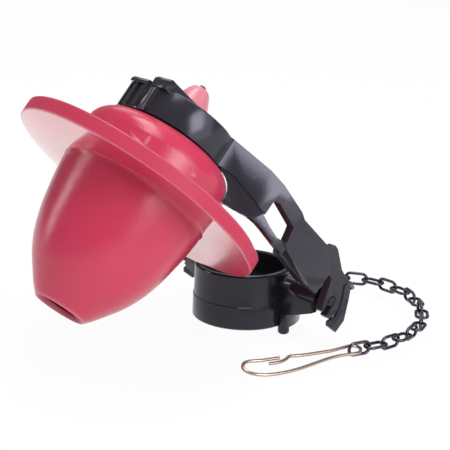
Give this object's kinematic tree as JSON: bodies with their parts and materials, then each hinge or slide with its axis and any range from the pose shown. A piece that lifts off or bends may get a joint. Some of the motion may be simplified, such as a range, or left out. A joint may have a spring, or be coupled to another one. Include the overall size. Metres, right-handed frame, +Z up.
{
  "type": "toilet flapper",
  "caption": "Toilet flapper: a hollow rubber stopper carried by a forked frame hinged on a collar for the overflow tube, with a lifting chain and a snap hook.",
  "frame": {"origin": "centre of the collar's bottom face, on the overflow tube's axis", "axes": "+Z up along the overflow tube, -X towards the rubber stopper, Y along the hinge with the chain on -Y"},
  "size_m": [0.1482, 0.1002, 0.0906],
  "materials": {
    "rubber": "glossy moulded red rubber",
    "frame_plastic": "smooth black moulding",
    "collar_plastic": "smooth black moulding",
    "chain_metal": "dark polished wire",
    "brass_wire": "pale bright wire"
  },
  "bodies": {
    "collar": {"overflow_collar": "collar_plastic"},
    "flapper": {"flapper_frame": "frame_plastic", "flapper_stopper": "rubber"},
    "chain": {"chain_link_01": "chain_metal", "chain_link_02": "chain_metal", "chain_link_03": "chain_metal", "chain_link_04": "chain_metal", "chain_link_05": "chain_metal", "chain_link_06": "chain_metal", "chain_link_07": "chain_metal", "chain_link_08": "chain_metal", "chain_link_09": "chain_metal", "chain_link_10": "chain_metal", "chain_link_11": "chain_metal", "chain_link_12": "chain_metal", "chain_link_13": "chain_metal", "chain_link_14": "chain_metal", "chain_link_15": "chain_metal", "chain_link_16": "chain_metal", "chain_link_17": "chain_metal", "chain_link_18": "chain_metal", "chain_link_19": "chain_metal", "chain_link_20": "chain_metal", "chain_link_21": "chain_metal", "chain_link_22": "chain_metal", "chain_link_23": "chain_metal", "chain_link_24": "chain_metal", "chain_link_25": "chain_metal"},
    "clip": {"snap_hook": "brass_wire"}
  },
  "joints": [
    {"name": "flap_hinge", "type": "hinge", "parent": "collar", "child": "flapper", "pos_m": [0.0069, 0, 0.0132], "axis": [0, 1, 0], "range_deg": [-41.6, 4.4]},
    {"name": "chain_swing", "type": "hinge", "parent": "flapper", "child": "chain", "pos_m": [0.01284, -0.0308, 0.01809], "axis": [0, 1, 0], "range_deg": [-4.4, 41.6]},
    {"name": "clip_swing", "type": "hinge", "parent": "chain", "child": "clip", "pos_m": [0, -0.0522, 0.00275], "axis": [0, 0, 1], "range_deg": [-2, 20]}
  ],
  "couplings": [
    {"joint": "chain_swing", "follows": "flap_hinge", "ratio": -1}
  ]
}
